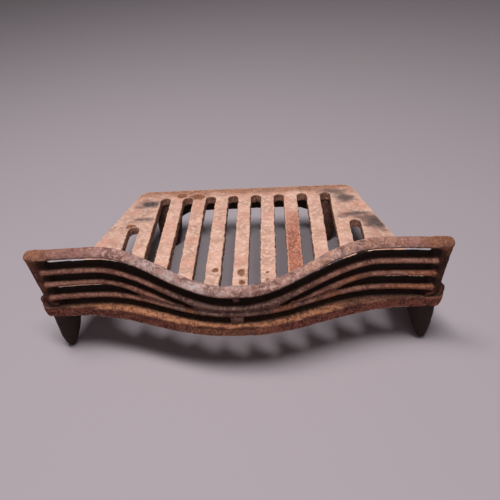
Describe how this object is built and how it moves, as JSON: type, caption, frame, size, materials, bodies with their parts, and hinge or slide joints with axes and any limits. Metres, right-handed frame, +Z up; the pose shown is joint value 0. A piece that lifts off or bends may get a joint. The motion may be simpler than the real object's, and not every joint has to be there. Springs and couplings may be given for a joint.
{
  "type": "log grate",
  "caption": "Cast iron log grate for an open hearth: a slotted bed on tapered legs, with a loose serpentine fret standing on its curved front ledge.",
  "frame": {"origin": "on the hearth, below the middle of the whole grate", "axes": "+X to the right seen from the front, +Y from the fret to the back edge, +Z up"},
  "size_m": [0.3672, 0.2318, 0.1157],
  "materials": {
    "bed_iron": "heat-bleached, thinly rusted and stained cast surface",
    "fret_iron": "dark red-brown rust, rough as cast",
    "rail_iron": "worn mauve-brown rust with pale specks",
    "leg_iron": "sooted near-black brown"
  },
  "bodies": {
    "bed": {"back_rail": "bed_iron", "side_left": "bed_iron", "side_right": "bed_iron", "grate_bar_1": "bed_iron", "grate_bar_2": "bed_iron", "grate_bar_3": "bed_iron", "grate_bar_4": "bed_iron", "grate_bar_5": "bed_iron", "grate_bar_6": "bed_iron", "grate_bar_7": "bed_iron", "grate_bar_8": "bed_iron", "grate_bar_9": "bed_iron", "front_ledge": "bed_iron", "rear_skirt": "leg_iron", "front_leg_left": "leg_iron", "front_leg_right": "leg_iron", "rear_leg_left": "leg_iron", "rear_leg_right": "leg_iron", "lug_left": "bed_iron", "lug_right": "bed_iron"},
    "fret": {"top_rail": "rail_iron", "upper_bar": "fret_iron", "middle_bar_left": "fret_iron", "middle_bar_right": "fret_iron", "lower_bar": "fret_iron", "post_left": "fret_iron", "post_right": "fret_iron", "middle_foot": "fret_iron", "middle_stay": "fret_iron"}
  },
  "joints": [
    {"name": "fret_lift", "type": "slide", "parent": "bed", "child": "fret", "axis": [0, 0, 1], "range_m": [0, 0.12]}
  ]
}
